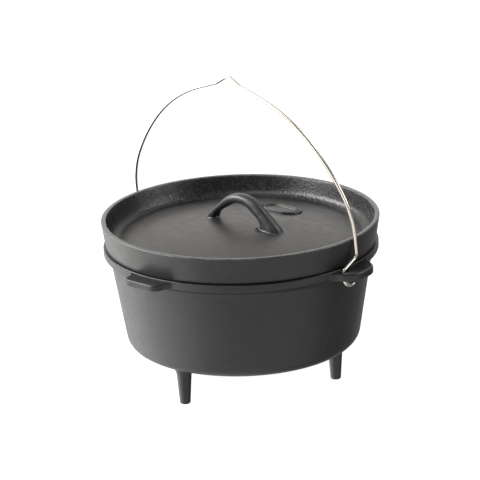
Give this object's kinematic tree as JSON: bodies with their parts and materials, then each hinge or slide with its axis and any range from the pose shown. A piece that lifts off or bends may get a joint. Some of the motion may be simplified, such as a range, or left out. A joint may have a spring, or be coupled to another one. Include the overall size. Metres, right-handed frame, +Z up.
{
  "type": "dutch oven",
  "caption": "Cast iron camp dutch oven: tapered pot on short legs, flanged lid with a domed tray and loop handle, and a swinging wire bail.",
  "frame": {"origin": "on the ground, under the pot's axis", "axes": "+Z up; X through the two bail ears; Y through the two lifting tabs, with one leg under the tab at -Y"},
  "size_m": [0.361, 0.353, 0.3649],
  "materials": {
    "pot_iron": "seasoned, satin, fine sand-cast grain",
    "lid_iron": "seasoned, satin, fine sand-cast grain",
    "bail_steel": "bright drawn wire"
  },
  "bodies": {
    "pot": {"pot_body": "pot_iron", "leg_front": "pot_iron", "leg_right": "pot_iron", "leg_left": "pot_iron", "bail_ear_right": "pot_iron", "bail_ear_left": "pot_iron", "lifting_tab_front": "pot_iron", "lifting_tab_back": "pot_iron"},
    "lid": {"lid_body": "lid_iron", "lid_handle": "lid_iron", "lid_badge": "lid_iron"},
    "bail": {"bail_wire": "bail_steel"}
  },
  "joints": [
    {"name": "lid_lift", "type": "slide", "parent": "pot", "child": "lid", "axis": [0, -0.809, 0.5878], "range_m": [0, 0.36]},
    {"name": "bail_swing", "type": "hinge", "parent": "pot", "child": "bail", "pos_m": [0, -0.004, 0.1605], "axis": [1, 0, 0], "range_deg": [-40, 45]}
  ]
}
